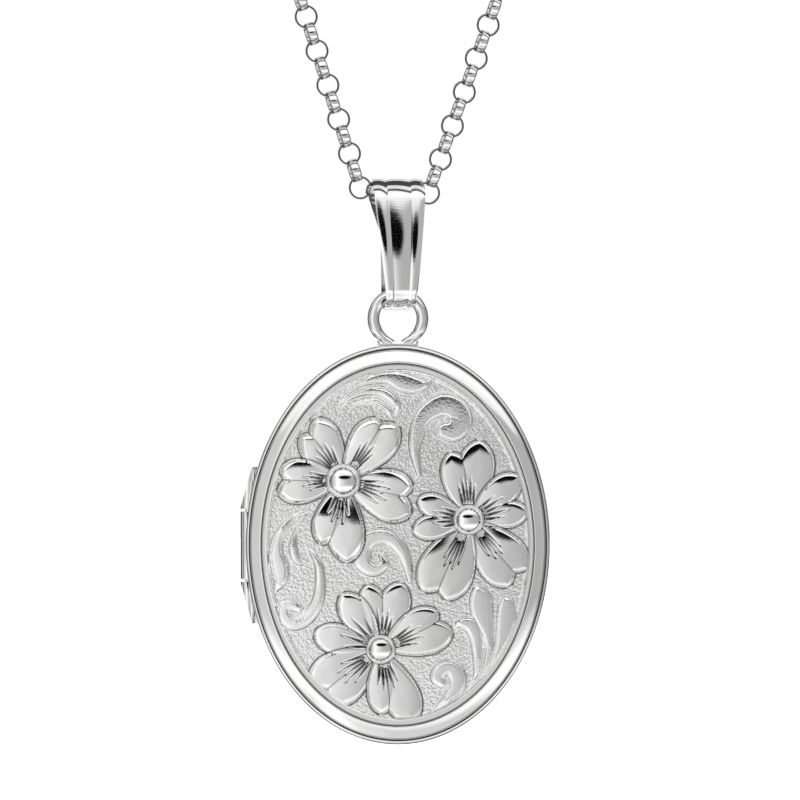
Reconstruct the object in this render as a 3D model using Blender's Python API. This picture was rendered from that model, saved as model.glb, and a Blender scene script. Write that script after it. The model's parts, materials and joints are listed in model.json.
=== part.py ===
"""An oval silver locket with its hinge, picture inserts, hanging loop, fluted bail and rolo chain.

The locket hangs in the XZ plane: +Z is up, the front faces -Y and the hinge is on the -X side. The origin is
the middle of the back cover's flat outer face. Sizes are in millimetres; add_mesh turns them into metres.

An outline of the body is a list of (inset, y) points. The inset is how far a point lies inside the locket's
widest oval, and the outline is carried round that oval.
"""

import math

import bmesh
import bpy
from mathutils import Matrix, Vector

MM = 0.001

# Locket body
HALF_WIDTH = 10.0
HALF_HEIGHT = 13.15
INSET_ASPECT = 1.2  # an inset is this much wider at the top and bottom than at the sides
OVAL_STEPS = 64
SHEET = 0.40
PART_Y = -2.55  # where the two halves meet
PART_GAP = 0.04
BACK_SEAM = -PART_Y - PART_GAP / 2
FRONT_SEAM = -PART_Y + PART_GAP / 2
FIT = 0.03  # gap between pieces that sit inside one another
STACK_GAP = 0.02  # gap between pieces that lie on one another
FILED_TOP = 13.03  # the top edge is filed flat under the loop pad
BACK_FLAT_INSET = 1.25

# Front half
RIM_CREST = 4.30  # depth of the rim's highest line in front of the back face
PANEL_INSET = 1.05
PANEL_EDGE = 4.12
PANEL_DOME = 0.55
PANEL_SHEET = 0.28
FLANGE_INSET = 1.55
FLANGE_BACK = 3.62
FLANGE_FRONT = 3.80

# Picture inserts
SEAT_BACK = 1.78
LEDGE_THICK = 0.18
LIP_TIP = 2.93  # the snap lip reaches this far past the parting plane
LIP_THICK = 0.25
INSERT_INSET = 0.72
CARD_THICK = 0.18
WINDOW_THICK = 0.15
BEZEL_WALL = 0.11
BEZEL_LIP = 0.22
BEZEL_EDGE = 0.12  # the lip's thickness at its inner edge
BEZEL_SLOPE = 0.25
BEZEL_REACH = 1.50

# Hinge
HINGE_X = -9.87
BARREL_RADIUS = 0.50
PIN_RADIUS = 0.17
PIN_CLEARANCE = 0.03
PIN_HALF_LENGTH = 3.5
CENTRE_KNUCKLE = (-2.27, 2.17)
UPPER_KNUCKLE = (2.35, 5.10)
LOWER_KNUCKLE = (-5.20, -2.45)
FILED_END = 0.78  # how far the outer knuckles are filed back at their ends
HINGE_REACH = 5.5  # half the length of lip that is left out beside the hinge
LIP_GAP_X = -7.9
LIP_GAP_Y = (-3.2, -1.98)

# Thumbnail notch at the upper right of the seam
NOTCH_ANGLES = (28.0, 46.0)
NOTCH_DEPTH = 0.16
NOTCH_HEIGHT = 0.42

# Hanging loop
LOOP_Y = -1.60
LOOP_CENTRE_Z = 14.88
LOOP_RADIUS = 1.62
WIRE_RADIUS = 0.40
FOOT_RADIUS = 0.29
LOOP_OPEN_ANGLE = 58.0  # the circle stops this far from straight down on each side
NECK_CENTRE = (1.0, 13.0)
NECK_RADIUS = 0.62
PAD_HALF = 1.33
PAD_THICK = 0.17
PAD_Y = (-2.35, -0.85)
EAR_HEIGHT = 0.20

# Bail and chain hang in a frame that is turned a little about the vertical
HANG_X = -0.08
HANG_TURN = math.radians(9.7)
BAIL_FOOT_Z = 16.32
BAIL_FOOT_RADIUS = 0.70
BAIL_FOLD_Z = 22.80
BAIL_FOLD_RADIUS = 1.08
BAIL_SHEET = 0.20
BAIL_FLUTE = 0.09
BAIL_FOOT_HALF = 0.92
BAIL_FOLD_HALF = 1.71
BAIL_BACK_TAPER = 0.2245  # the back leg narrows by this much for each millimetre below the fold
BAIL_BACK_HALF = 0.90
FLUTE_EDGE = 0.47

LINK_RADIUS = 0.705
LINK_BAND = 0.30  # half the width of a link's band
LINK_SHEET = 0.075  # half its thickness
LINK_PITCH = 1.18
MIDDLE_LINK = (-0.17, 23.05)
LEFT_STRAND = (-2.455, 23.49, 107.8)  # first ring's centre, and the strand's direction in degrees
RIGHT_STRAND = (2.11, 23.16, 70.2)
STRAND_LINKS = 12


def clear_scene():
    for obj in list(bpy.data.objects):
        bpy.data.objects.remove(obj, do_unlink=True)


def make_material(name, colour, metallic, roughness, transmission=0.0):
    material = bpy.data.materials.new(name)
    material.use_nodes = True
    shader = material.node_tree.nodes["Principled BSDF"]
    shader.inputs["Base Color"].default_value = (*colour, 1.0)
    shader.inputs["Metallic"].default_value = metallic
    shader.inputs["Roughness"].default_value = roughness
    shader.inputs["Transmission Weight"].default_value = transmission
    material.diffuse_color = (*colour, 1.0)
    return material


def polished_silver():
    return make_material("polished_silver", (0.92, 0.92, 0.93), 1.0, 0.10)


def embossed_silver():
    return make_material("embossed_silver", (0.88, 0.88, 0.89), 1.0, 0.30)


def picture_paper():
    return make_material("picture_paper", (0.90, 0.88, 0.83), 0.0, 0.75)


def clear_acetate():
    return make_material("clear_acetate", (0.97, 0.98, 0.98), 0.0, 0.05, transmission=1.0)


# Placing


def add_empty(name, location, turn=0.0):
    empty = bpy.data.objects.new(name, None)
    empty.empty_display_size = 2 * MM
    empty.location = Vector(location) * MM
    empty.rotation_euler = (0.0, 0.0, turn)
    bpy.context.scene.collection.objects.link(empty)
    return empty


def add_mesh(name, bm, material, origin=(0, 0, 0), parent=None, parent_origin=(0, 0, 0)):
    """An object from a bmesh in millimetres, with its origin moved to the given point."""
    origin = Vector(origin)
    bmesh.ops.recalc_face_normals(bm, faces=bm.faces)
    bmesh.ops.translate(bm, vec=-origin, verts=bm.verts)
    bmesh.ops.scale(bm, vec=Vector((MM, MM, MM)), verts=bm.verts)
    mesh = bpy.data.meshes.new(name)
    bm.to_mesh(mesh)
    bm.free()
    mesh.polygons.foreach_set("use_smooth", [True] * len(mesh.polygons))
    mesh.set_sharp_from_angle(angle=math.radians(38))
    if material:
        mesh.materials.append(material)
    obj = bpy.data.objects.new(name, mesh)
    obj.location = (origin - Vector(parent_origin)) * MM
    obj.parent = parent
    bpy.context.scene.collection.objects.link(obj)
    return obj


def add_cutter(name, bm):
    cutter = add_mesh(name, bm, None)
    cutter.hide_render = True
    cutter.display_type = "WIRE"
    return cutter


def combine(obj, other, operation="DIFFERENCE"):
    modifier = obj.modifiers.new(other.name, "BOOLEAN")
    modifier.operation = operation
    modifier.solver = "EXACT"
    modifier.object = other


# Shapes


def oval_point(inset, y, angle):
    x = (HALF_WIDTH - inset) * math.cos(angle)
    z = (HALF_HEIGHT - INSET_ASPECT * inset) * math.sin(angle)
    return Vector((x, y, z))


def oval_ring(bm, inset, y):
    angles = [2 * math.pi * i / OVAL_STEPS for i in range(OVAL_STEPS)]
    return [bm.verts.new(oval_point(inset, y, a)) for a in angles]


def join_rings(bm, first, second):
    count = len(first)
    for i in range(count):
        j = (i + 1) % count
        bm.faces.new((first[i], first[j], second[j], second[i]))


def oval_frame(outline):
    """A ring-shaped solid: a closed outline carried round the oval."""
    bm = bmesh.new()
    rings = [oval_ring(bm, inset, -depth) for inset, depth in outline]
    for i, ring in enumerate(rings):
        join_rings(bm, ring, rings[(i + 1) % len(rings)])
    return bm


def oval_plate(outline):
    """A solid without a hole: an outline that starts and ends at a flat face across the middle."""
    bm = bmesh.new()
    rings = [oval_ring(bm, inset, -depth) for inset, depth in outline]
    for first, second in zip(rings, rings[1:]):
        join_rings(bm, first, second)
    bm.faces.new(rings[0])
    bm.faces.new(rings[-1])
    return bm


def box(low, high):
    bm = bmesh.new()
    low, high = Vector(low), Vector(high)
    place = Matrix.Translation((low + high) / 2) @ Matrix.Diagonal((*(high - low), 1.0))
    bmesh.ops.create_cube(bm, size=1.0, matrix=place)
    return bm


def upright_cylinder(centre, radius, low, high, sides=32):
    bm = bmesh.new()
    place = Matrix.Translation((centre[0], centre[1], (low + high) / 2))
    bmesh.ops.create_cone(
        bm, cap_ends=True, segments=sides, radius1=radius, radius2=radius, depth=high - low, matrix=place
    )
    return bm


def extruded(outline, low_y, high_y):
    """A solid from an (x, z) outline carried along Y."""
    bm = bmesh.new()
    near = [bm.verts.new((x, low_y, z)) for x, z in outline]
    far = [bm.verts.new((x, high_y, z)) for x, z in outline]
    join_rings(bm, near, far)
    bm.faces.new(near)
    bm.faces.new(far)
    return bm


def tube(path, radii, sides=12):
    """A round wire in the XZ plane along (x, z) points, with a radius for each point."""
    bm = bmesh.new()
    rings = []
    for i, (x, z) in enumerate(path):
        before, after = path[max(i - 1, 0)], path[min(i + 1, len(path) - 1)]
        along = Vector((after[0] - before[0], 0.0, after[1] - before[1])).normalized()
        side = Vector((along.z, 0.0, -along.x))
        ring = []
        for k in range(sides):
            angle = 2 * math.pi * k / sides
            offset = side * math.cos(angle) + Vector((0, 1, 0)) * math.sin(angle)
            ring.append(bm.verts.new(Vector((x, LOOP_Y, z)) + offset * radii[i]))
        rings.append(ring)
    for first, second in zip(rings, rings[1:]):
        join_rings(bm, first, second)
    bm.faces.new(rings[0])
    bm.faces.new(rings[-1])
    return bm


# Cutters that several pieces share


def hinge_channel():
    """The hollow that both covers leave for the hinge barrel."""
    low, high = LOWER_KNUCKLE[0] - 0.05, UPPER_KNUCKLE[1] + 0.05
    return upright_cylinder((HINGE_X, PART_Y), BARREL_RADIUS + FIT, low, high)


def notch_cutter():
    """A shallow hollow across the seam, following the oval's edge."""
    bm = bmesh.new()
    steps = 10
    sections = []
    for i in range(steps + 1):
        share = i / steps
        angle = math.radians(NOTCH_ANGLES[0] + share * (NOTCH_ANGLES[1] - NOTCH_ANGLES[0]))
        depth = 0.02 + NOTCH_DEPTH * math.sin(math.pi * share)
        corners = ((-0.4, -1), (depth, -0.5), (depth, 0.5), (-0.4, 1))
        points = [oval_point(inset, PART_Y + side * NOTCH_HEIGHT, angle) for inset, side in corners]
        sections.append([bm.verts.new(p) for p in points])
    for first, second in zip(sections, sections[1:]):
        join_rings(bm, first, second)
    bm.faces.new(sections[0])
    bm.faces.new(sections[-1])
    return bm


def filed_top_cutter():
    return box((-PAD_HALF - 0.05, -4.5, FILED_TOP), (PAD_HALF + 0.05, 0.5, FILED_TOP + 1.0))


def knuckle_web(span, margin=0.0):
    """The solder web that ties an outer knuckle to the back cover's wall."""
    low = (HINGE_X - margin, PART_Y + 0.04 - margin, span[0] - margin)
    high = (HINGE_X + 1.2, PART_Y + 0.45 + margin, span[1] + margin)
    return box(low, high)


# Back half


def build_back_cover(silver):
    outside = [
        (BACK_FLAT_INSET, 0.0), (0.70, 0.14), (0.32, 0.42), (0.10, 0.80), (0.0, 1.25), (0.0, BACK_SEAM),
    ]
    inside = [
        (SHEET, BACK_SEAM), (SHEET, 1.45), (0.50, 1.05), (0.75, 0.70), (1.10, 0.48), (1.45, SHEET),
    ]
    cover = add_mesh("back_cover", oval_plate(outside + inside), silver)
    for cutter in ("hinge_channel", "upper_web_slot", "lower_web_slot", "nail_notch", "filed_top"):
        combine(cover, bpy.data.objects[cutter])
    return cover


def build_back_inner_rim(silver):
    outer = SHEET + FIT
    inner = outer + LIP_THICK
    outline = [
        (outer, SEAT_BACK - LEDGE_THICK), (BEZEL_REACH, SEAT_BACK - LEDGE_THICK),
        (BEZEL_REACH, SEAT_BACK), (inner, SEAT_BACK),
        (inner, LIP_TIP - 0.08), (inner - 0.08, LIP_TIP), (outer + 0.05, LIP_TIP), (outer, LIP_TIP - 0.13),
    ]
    rim = add_mesh("back_inner_rim", oval_frame(outline), silver)
    combine(rim, bpy.data.objects["lip_gap"])
    return rim


def build_outer_knuckle(name, span, silver):
    """A hinge tube closed at its far end, filed back along the oval, with its web to the back cover."""
    knuckle = add_mesh(name, upright_cylinder((HINGE_X, PART_Y), BARREL_RADIUS, *span), silver)
    combine(knuckle, add_cutter(name + "_web", knuckle_web(span)), "UNION")
    combine(knuckle, bpy.data.objects["inside_of_wall"])
    combine(knuckle, bpy.data.objects["pin_bore"])
    upwards = span[0] > 0
    near, far = (span[0], span[1] + 0.5) if upwards else (span[1], span[0] - 0.5)
    slope = FILED_END / (span[1] - span[0])
    edge = HINGE_X - BARREL_RADIUS
    reach = edge + slope * abs(far - near)
    corners = [(edge - 1, near), (edge, near), (reach, far), (edge - 1, far)]
    wedge = extruded(corners, PART_Y - 1, PART_Y + 1)
    combine(knuckle, add_cutter(name + "_filing", wedge))
    return knuckle


def build_hinge_pin(silver):
    bm = upright_cylinder((HINGE_X, PART_Y), PIN_RADIUS, -PIN_HALF_LENGTH, PIN_HALF_LENGTH, sides=20)
    return add_mesh("hinge_pin", bm, silver)


def build_inserts(side, seat, towards, materials, **placing):
    """One half's picture card, clear window and bezel, stacked from the seat towards the opening."""
    silver, paper, acetate = materials
    inside = INSERT_INSET + BEZEL_WALL + FIT
    card = seat + towards * STACK_GAP
    window = card + towards * (CARD_THICK + STACK_GAP)
    lip = window + towards * (WINDOW_THICK + STACK_GAP)
    top = lip + towards * BEZEL_LIP

    def sheet(name, start, thick, material):
        end = start + towards * thick
        outline = [(8.0, start), (inside, start), (inside, end), (8.0, end)]
        add_mesh(name, oval_plate(outline), material, **placing)

    sheet(f"{side}_photo_card", card, CARD_THICK, paper)
    sheet(f"{side}_photo_window", window, WINDOW_THICK, acetate)
    bezel = [
        (INSERT_INSET, card), (INSERT_INSET + BEZEL_WALL, card), (INSERT_INSET + BEZEL_WALL, lip),
        (BEZEL_REACH, lip), (BEZEL_REACH, lip + towards * BEZEL_EDGE), (BEZEL_REACH - BEZEL_SLOPE, top),
        (INSERT_INSET, top),
    ]
    add_mesh(f"{side}_photo_bezel", oval_frame(bezel), silver, **placing)


def build_loop_pad(silver):
    low, high = FILED_TOP + STACK_GAP, FILED_TOP + STACK_GAP + PAD_THICK
    ear = high + EAR_HEIGHT
    outline = [
        (-PAD_HALF, low), (PAD_HALF, low), (PAD_HALF + 0.03, ear), (PAD_HALF - 0.09, ear),
        (PAD_HALF - 0.16, high), (0.16 - PAD_HALF, high), (0.09 - PAD_HALF, ear), (-PAD_HALF - 0.03, ear),
    ]
    return add_mesh("loop_pad", extruded(outline, *PAD_Y), silver)


def loop_path():
    """The right half of the loop's wire, from its top down to the foot, as (x, z, radius)."""
    end = -90 + LOOP_OPEN_ANGLE
    points = []
    for i in range(15):
        angle = math.radians(90 + (end - 90) * i / 14)
        x, z = LOOP_RADIUS * math.cos(angle), LOOP_CENTRE_Z + LOOP_RADIUS * math.sin(angle)
        points.append((x, z, WIRE_RADIUS))
    for i in range(7):
        angle = math.radians(102 + 78 * i / 6)
        x = NECK_CENTRE[0] + NECK_RADIUS * math.cos(angle)
        z = NECK_CENTRE[1] + NECK_RADIUS * math.sin(angle)
        radius = WIRE_RADIUS + (FOOT_RADIUS - WIRE_RADIUS) * min(1.0, (i + 1) / 4)
        points.append((x, z, radius))
    return points


def build_hanging_loop(silver):
    right = loop_path()
    whole = [(-x, z, r) for x, z, r in reversed(right)] + right[1:]
    loop = add_mesh("hanging_loop", tube([p[:2] for p in whole], [p[2] for p in whole]), silver)
    floor = FILED_TOP + PAD_THICK + 2 * STACK_GAP
    combine(loop, add_cutter("loop_feet_cut", box((-3, LOOP_Y - 1, floor - 2), (3, LOOP_Y + 1, floor))))
    return loop


# Front half


def build_front_rim(silver, **placing):
    crest = RIM_CREST
    outline = [
        (0.0, FRONT_SEAM), (0.0, 3.05), (0.08, 3.35), (0.24, 3.52), (0.27, 3.64), (0.38, 3.95),
        (0.55, crest - 0.12), (0.72, crest), (0.90, crest - 0.05), (PANEL_INSET - FIT, crest - 0.20),
        (PANEL_INSET - FIT, FLANGE_FRONT), (FLANGE_INSET, FLANGE_FRONT), (FLANGE_INSET, FLANGE_BACK),
        (0.66, FLANGE_BACK), (0.48, 3.40), (SHEET, 3.15), (SHEET, FRONT_SEAM),
    ]
    rim = add_mesh("front_rim", oval_frame(outline), silver, **placing)
    for cutter in ("hinge_channel", "nail_notch", "filed_top"):
        combine(rim, bpy.data.objects[cutter])
    return rim


def panel_depth(inset):
    """How far the panel's face stands in front of the back face."""
    share = (inset - PANEL_INSET) / (HALF_WIDTH - PANEL_INSET)
    return PANEL_EDGE + PANEL_DOME * (1 - (1 - share) ** 2)


def build_front_panel(silver, **placing):
    steps = [PANEL_INSET + (9.0 - PANEL_INSET) * (i / 9) for i in range(10)]
    face = [(inset, panel_depth(inset)) for inset in reversed(steps)]
    base = FLANGE_BACK + 0.18 + 0.02
    hollow = [(inset, panel_depth(inset) - PANEL_SHEET) for inset in steps[2:]]
    edge = [(PANEL_INSET, base), (1.75, base)]
    return add_mesh("front_panel", oval_plate(face + edge + hollow), silver, **placing)


def build_centre_knuckle(silver, **placing):
    bm = upright_cylinder((HINGE_X, PART_Y), BARREL_RADIUS, *CENTRE_KNUCKLE)
    knuckle = add_mesh("hinge_knuckle_centre", bm, silver, **placing)
    combine(knuckle, bpy.data.objects["pin_bore"])
    return knuckle


# Bail


def bail_half_width(z, front):
    share = max(0.0, (z - BAIL_FOOT_Z + BAIL_FOOT_RADIUS) / (BAIL_FOLD_Z + BAIL_FOLD_RADIUS - BAIL_FOOT_Z))
    wide = BAIL_FOOT_HALF + (BAIL_FOLD_HALF - BAIL_FOOT_HALF) * min(1.0, share) ** 0.9
    if front or z > BAIL_FOLD_Z:
        return wide
    narrow = wide - BAIL_BACK_TAPER * (BAIL_FOLD_Z - z)
    return min(wide, max(BAIL_BACK_HALF, narrow))


def bail_stations():
    """Points round the side view of the strap: (v, z, outward v, outward z), with v the depth."""
    lean = math.asin((BAIL_FOLD_RADIUS - BAIL_FOOT_RADIUS) / (BAIL_FOLD_Z - BAIL_FOOT_Z))
    stations = []

    def arc(z, radius, start, stop, count):
        for i in range(count + 1):
            angle = start + (stop - start) * i / count
            out = (math.cos(angle), math.sin(angle))
            stations.append((radius * out[0], z + radius * out[1], *out))

    def leg(count):
        first = stations[-1]
        top = first[1] > BAIL_FOLD_Z - 1
        end_z, end_radius = (BAIL_FOOT_Z, BAIL_FOOT_RADIUS) if top else (BAIL_FOLD_Z, BAIL_FOLD_RADIUS)
        last = (end_radius * first[2], end_z + end_radius * first[3])
        for i in range(1, count):
            share = i / count
            v = first[0] + (last[0] - first[0]) * share
            z = first[1] + (last[1] - first[1]) * share
            stations.append((v, z, first[2], first[3]))

    arc(BAIL_FOLD_Z, BAIL_FOLD_RADIUS, -lean, math.pi + lean, 14)
    leg(6)
    arc(BAIL_FOOT_Z, BAIL_FOOT_RADIUS, math.pi + lean, 2 * math.pi - lean, 12)
    leg(6)
    return stations


def flute_height(share):
    """The strap's extra thickness across its width, in three rounded flutes."""
    edges = (-1.0, -FLUTE_EDGE, FLUTE_EDGE, 1.0)
    for low, high in zip(edges, edges[1:]):
        if share <= high:
            middle = (low + high) / 2
            return BAIL_FLUTE * (1 - ((share - middle) / (high - middle)) ** 2)
    return 0.0


def build_bail(silver, frame):
    bm = bmesh.new()
    shares = (-1.0, -0.87, -0.73, -0.6, -FLUTE_EDGE, -0.24, 0.0, 0.24, FLUTE_EDGE, 0.6, 0.73, 0.87, 1.0)
    sections = []
    for v, z, out_v, out_z in bail_stations():
        half = bail_half_width(z, v < 0)
        section = []
        for share in shares:
            thick = BAIL_SHEET - BAIL_FLUTE + flute_height(share)
            section.append(bm.verts.new((half * share, v + out_v * thick, z + out_z * thick)))
        for share in reversed(shares):
            section.append(bm.verts.new((half * share, v, z)))
        sections.append(section)
    for i, section in enumerate(sections):
        join_rings(bm, section, sections[(i + 1) % len(sections)])
    return add_mesh("bail", bm, silver, origin=(0, 0, BAIL_FOOT_Z), parent=frame)


# Chain


def link_mesh(silver):
    """A round link in its own XZ plane, made of flat band with rounded faces."""
    bm = bmesh.new()
    around, across = 16, 6
    rings = []
    for i in range(around):
        turn = 2 * math.pi * i / around
        ring = []
        for k in range(across):
            angle = 2 * math.pi * k / across
            radius = LINK_RADIUS + LINK_SHEET * math.cos(angle)
            y = LINK_BAND * math.sin(angle)
            ring.append(bm.verts.new((radius * math.cos(turn), y, radius * math.sin(turn))))
        rings.append(ring)
    for i, ring in enumerate(rings):
        join_rings(bm, ring, rings[(i + 1) % around])
    pattern = add_mesh("link_pattern", bm, silver)
    mesh = pattern.data
    bpy.data.objects.remove(pattern)
    return mesh


def add_link(name, mesh, frame, u, z, direction, edge_on):
    """A link at (u, z) in the hanging frame; its own X axis runs along the strand."""
    link = bpy.data.objects.new(name, mesh)
    bpy.context.scene.collection.objects.link(link)
    link.parent = frame
    link.location = Vector((u, 0, z)) * MM
    turned = Matrix.Rotation(-math.radians(direction), 3, "Y")
    if edge_on:
        turned = turned @ Matrix.Rotation(math.pi / 2, 3, "X")
    link.rotation_euler = turned.to_euler()
    return link


def build_strand(side, strand, mesh, frame):
    u, z, direction = strand
    step = Vector((math.cos(math.radians(direction)), math.sin(math.radians(direction)))) * LINK_PITCH
    for i in range(STRAND_LINKS):
        place = Vector((u, z)) + step * i
        add_link(f"chain_link_{side}_{i + 1:02d}", mesh, frame, place.x, place.y, direction, i % 2 == 1)


def build_middle_links(mesh, frame):
    middle = Vector(MIDDLE_LINK)
    add_link("chain_link_middle", mesh, frame, middle.x, middle.y, 0.0, False)
    for side, strand in (("left", LEFT_STRAND), ("right", RIGHT_STRAND)):
        end = Vector(strand[:2])
        between = (middle + end) / 2
        direction = math.degrees(math.atan2(end.y - middle.y, end.x - middle.x))
        add_link(f"chain_link_under_{side}", mesh, frame, between.x, between.y, direction, True)


def build_cutters():
    add_cutter("hinge_channel", hinge_channel())
    add_cutter("upper_web_slot", knuckle_web(UPPER_KNUCKLE, FIT))
    add_cutter("lower_web_slot", knuckle_web(LOWER_KNUCKLE, FIT))
    add_cutter("nail_notch", notch_cutter())
    add_cutter("filed_top", filed_top_cutter())
    wall = [(8.0, 0.5), (SHEET - 0.02, 0.5), (SHEET - 0.02, 4.5), (8.0, 4.5)]
    add_cutter("inside_of_wall", oval_plate(wall))
    reach = PIN_HALF_LENGTH + 0.05
    bore = upright_cylinder((HINGE_X, PART_Y), PIN_RADIUS + PIN_CLEARANCE, -reach, reach, sides=20)
    add_cutter("pin_bore", bore)
    low, high = LIP_GAP_Y
    add_cutter("lip_gap", box((-11, low, -HINGE_REACH), (LIP_GAP_X, high, HINGE_REACH)))


def main():
    clear_scene()
    silver = polished_silver()
    materials = (silver, picture_paper(), clear_acetate())
    build_cutters()

    build_back_cover(silver)
    build_back_inner_rim(silver)
    build_outer_knuckle("hinge_knuckle_upper", UPPER_KNUCKLE, silver)
    build_outer_knuckle("hinge_knuckle_lower", LOWER_KNUCKLE, silver)
    build_hinge_pin(silver)
    build_inserts("back", SEAT_BACK, 1, materials)
    build_loop_pad(silver)
    build_hanging_loop(silver)

    axis = (HINGE_X, PART_Y, 0)
    placing = {"origin": axis, "parent": add_empty("cover_hinge_axis", axis), "parent_origin": axis}
    build_front_rim(silver, **placing)
    build_front_panel(embossed_silver(), **placing)
    build_centre_knuckle(silver, **placing)
    build_inserts("front", FLANGE_BACK, -1, materials, **placing)

    frame = add_empty("hanging_frame", (HANG_X, LOOP_Y, 0), HANG_TURN)
    build_bail(silver, frame)
    mesh = link_mesh(silver)
    build_middle_links(mesh, frame)
    build_strand("left", LEFT_STRAND, mesh, frame)
    build_strand("right", RIGHT_STRAND, mesh, frame)


main()
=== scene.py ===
"""The looks of an oval silver locket: polished covers, an embossed panel, a fluted bail and a rolo chain.

Everything is worked out in millimetres, and make_mesh turns it into metres. The front faces -Y and +Z is up.
"""
import json
import math

import bmesh
import bpy
import numpy as np
from mathutils import Matrix, Vector


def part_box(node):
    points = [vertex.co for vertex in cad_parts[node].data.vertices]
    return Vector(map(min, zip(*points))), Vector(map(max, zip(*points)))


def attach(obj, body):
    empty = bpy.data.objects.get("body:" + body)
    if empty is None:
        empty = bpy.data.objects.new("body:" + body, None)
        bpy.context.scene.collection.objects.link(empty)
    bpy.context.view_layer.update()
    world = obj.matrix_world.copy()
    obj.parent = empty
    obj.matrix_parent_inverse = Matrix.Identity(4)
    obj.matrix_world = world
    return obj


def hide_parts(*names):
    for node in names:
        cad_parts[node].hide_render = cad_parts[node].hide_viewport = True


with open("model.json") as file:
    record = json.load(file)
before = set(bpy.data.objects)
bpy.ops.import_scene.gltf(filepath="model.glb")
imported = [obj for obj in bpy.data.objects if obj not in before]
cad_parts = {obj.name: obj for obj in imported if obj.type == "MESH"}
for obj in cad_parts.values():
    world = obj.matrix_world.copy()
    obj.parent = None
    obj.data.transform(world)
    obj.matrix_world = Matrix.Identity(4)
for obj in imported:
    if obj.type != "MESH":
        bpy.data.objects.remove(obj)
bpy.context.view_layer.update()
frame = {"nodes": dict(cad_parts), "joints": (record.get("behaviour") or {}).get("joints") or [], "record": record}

MM = 0.001
JOINTS = {joint["name"]: joint for joint in frame["joints"]}
BODY_OF = {node: body for body, nodes in frame["record"]["behaviour"]["bodies"].items() for node in nodes}


def box_mm(node):
    low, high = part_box(node)
    return np.array(low) / MM, np.array(high) / MM


def joint_point(name):
    return np.array(JOINTS[name]["pos_m"]) / MM


def joint_axis(name):
    return np.array(JOINTS[name]["axis"])


# Sizes read from the frame
COVER_LOW, COVER_HIGH = box_mm("back_cover")
HALF_WIDTH = COVER_HIGH[0]
HALF_HEIGHT = -COVER_LOW[2]
BACK_SEAM = -COVER_LOW[1]
RIM_LOW, RIM_HIGH = box_mm("front_rim")
RIM_SEAM = -RIM_HIGH[1]
RIM_CREST = -RIM_LOW[1]
PANEL_LOW, PANEL_HIGH = box_mm("front_panel")
PANEL_HALF = np.array((PANEL_HIGH[0], PANEL_HIGH[2]))
PANEL_TOP = -PANEL_LOW[1]
PANEL_BASE = -PANEL_HIGH[1]
FILED_TOP = COVER_HIGH[2]
INSET_ASPECT = 1.2  # an inset is this much wider at the top and bottom than at the sides

OVAL_STEPS = 360
GROUND_TOP = PANEL_TOP - 0.12  # the stippled ground lies a little lower than the flowers
PANEL_DOME = 0.40
RELIEF_STEP = 0.055
SHEET = 0.40


# Meshes


def make_mesh(name, points, faces, sharp=35.0):
    mesh = bpy.data.meshes.new(name)
    mesh.from_pydata((np.asarray(points) * MM).tolist(), [], faces)
    bm = bmesh.new()
    bm.from_mesh(mesh)
    bmesh.ops.recalc_face_normals(bm, faces=bm.faces)
    bm.to_mesh(mesh)
    bm.free()
    mesh.polygons.foreach_set("use_smooth", [True] * len(mesh.polygons))
    mesh.set_sharp_from_angle(angle=math.radians(sharp))
    return mesh


def set_attribute(mesh, name, values):
    attribute = mesh.attributes.new(name, "FLOAT", "POINT")
    attribute.data.foreach_set("value", np.asarray(values, np.float32))


def make_piece(name, mesh, material, nodes, matrix=None):
    """Shows a mesh in place of CAD nodes, riding on the body of the first one."""
    piece = bpy.data.objects.new(name, mesh)
    bpy.context.scene.collection.objects.link(piece)
    if matrix is not None:
        piece.matrix_world = matrix
    if not mesh.materials:
        mesh.materials.append(material)
    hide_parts(*nodes)
    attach(piece, BODY_OF[nodes[0]])
    return piece


def grid_faces(rows, columns, wrap_rows=False, wrap_columns=False, start=0):
    """Quads over a grid of points stored row by row."""
    row_count = rows if wrap_rows else rows - 1
    column_count = columns if wrap_columns else columns - 1
    faces = []
    for i in range(row_count):
        a = start + i * columns
        b = start + (i + 1) % rows * columns
        for j in range(column_count):
            k = (j + 1) % columns
            faces.append((a + j, a + k, b + k, b + j))
    return faces


def rounded(outline, radius, steps=4, closed=True):
    """A polygon of (inset, depth) points with each corner turned into a short curve."""
    points = [np.array(p, float) for p in outline]
    count = len(points)
    result = []
    for i, corner in enumerate(points):
        if not closed and i in (0, count - 1):
            result.append(corner)
            continue
        before, after = points[i - 1], points[(i + 1) % count]
        reach_before = min(radius, np.linalg.norm(before - corner) * 0.45)
        reach_after = min(radius, np.linalg.norm(after - corner) * 0.45)
        first = corner + (before - corner) / np.linalg.norm(before - corner) * reach_before
        last = corner + (after - corner) / np.linalg.norm(after - corner) * reach_after
        for step in range(steps + 1):
            t = step / steps
            result.append((1 - t) ** 2 * first + 2 * t * (1 - t) * corner + t ** 2 * last)
    return np.array(result)


def oval_rings(outline):
    """Carries (inset, depth) points round the oval; returns points ordered ring by ring."""
    angles = np.linspace(0, 2 * math.pi, OVAL_STEPS, endpoint=False)
    inset, depth = np.asarray(outline)[:, :1], np.asarray(outline)[:, 1:]
    x = (HALF_WIDTH - inset) * np.cos(angles)
    z = (HALF_HEIGHT - INSET_ASPECT * inset) * np.sin(angles)
    y = np.broadcast_to(-depth, x.shape)
    return np.stack([x, y, z], axis=-1).reshape(-1, 3)


def file_top(points):
    """Presses the top edge down to the flat that the loop pad stands on."""
    points[:, 2] = np.minimum(points[:, 2], FILED_TOP)
    return points


def oval_frame_mesh(name, outline):
    points = file_top(oval_rings(outline))
    return make_mesh(name, points, grid_faces(len(outline), OVAL_STEPS, True, True))


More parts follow.
